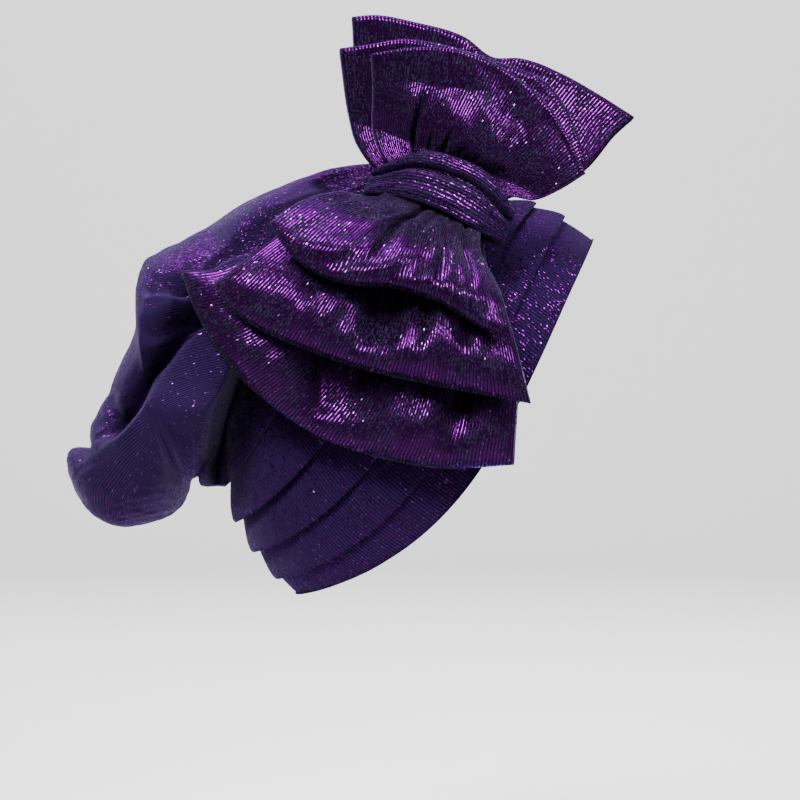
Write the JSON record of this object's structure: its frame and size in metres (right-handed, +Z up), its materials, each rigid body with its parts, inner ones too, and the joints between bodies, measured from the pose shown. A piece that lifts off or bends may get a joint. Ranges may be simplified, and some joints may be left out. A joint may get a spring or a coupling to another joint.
{
  "type": "bow turban cap",
  "caption": "Soft turban cap of finely pleated lurex cloth: a tucked head band, a draped crown with a hanging tail, and a large layered bow on the wearer's right side.",
  "frame": {"origin": "middle of the oval opening that the head goes into, where the cap sits on the head", "axes": "+Z up as worn, -Y the way the face looks, -X the wearer's right, where the bow is"},
  "size_m": [0.2273, 0.303, 0.3109],
  "materials": {
    "band_lurex": "fine pleated jersey with a thin metallic thread, dark violet",
    "crown_lurex": "fine pleated jersey with a thin metallic thread, dark violet with a magenta sheen",
    "knot_lurex": "the same cloth wrapped round the bow's middle, with bright points of metallic thread",
    "bow_lurex": "pressed pleats with a metallic thread that glints violet and magenta"
  },
  "bodies": {
    "root": {"head_band": "band_lurex", "crown_drape": "crown_lurex", "knot_wrap": "knot_lurex", "knot_tab": "knot_lurex", "bow_lower_loop_1": "bow_lurex", "bow_lower_loop_2": "bow_lurex", "bow_lower_loop_3": "bow_lurex", "bow_upper_loop_1": "bow_lurex", "bow_upper_loop_2": "bow_lurex", "bow_upper_loop_3": "bow_lurex"}
  },
  "joints": []
}
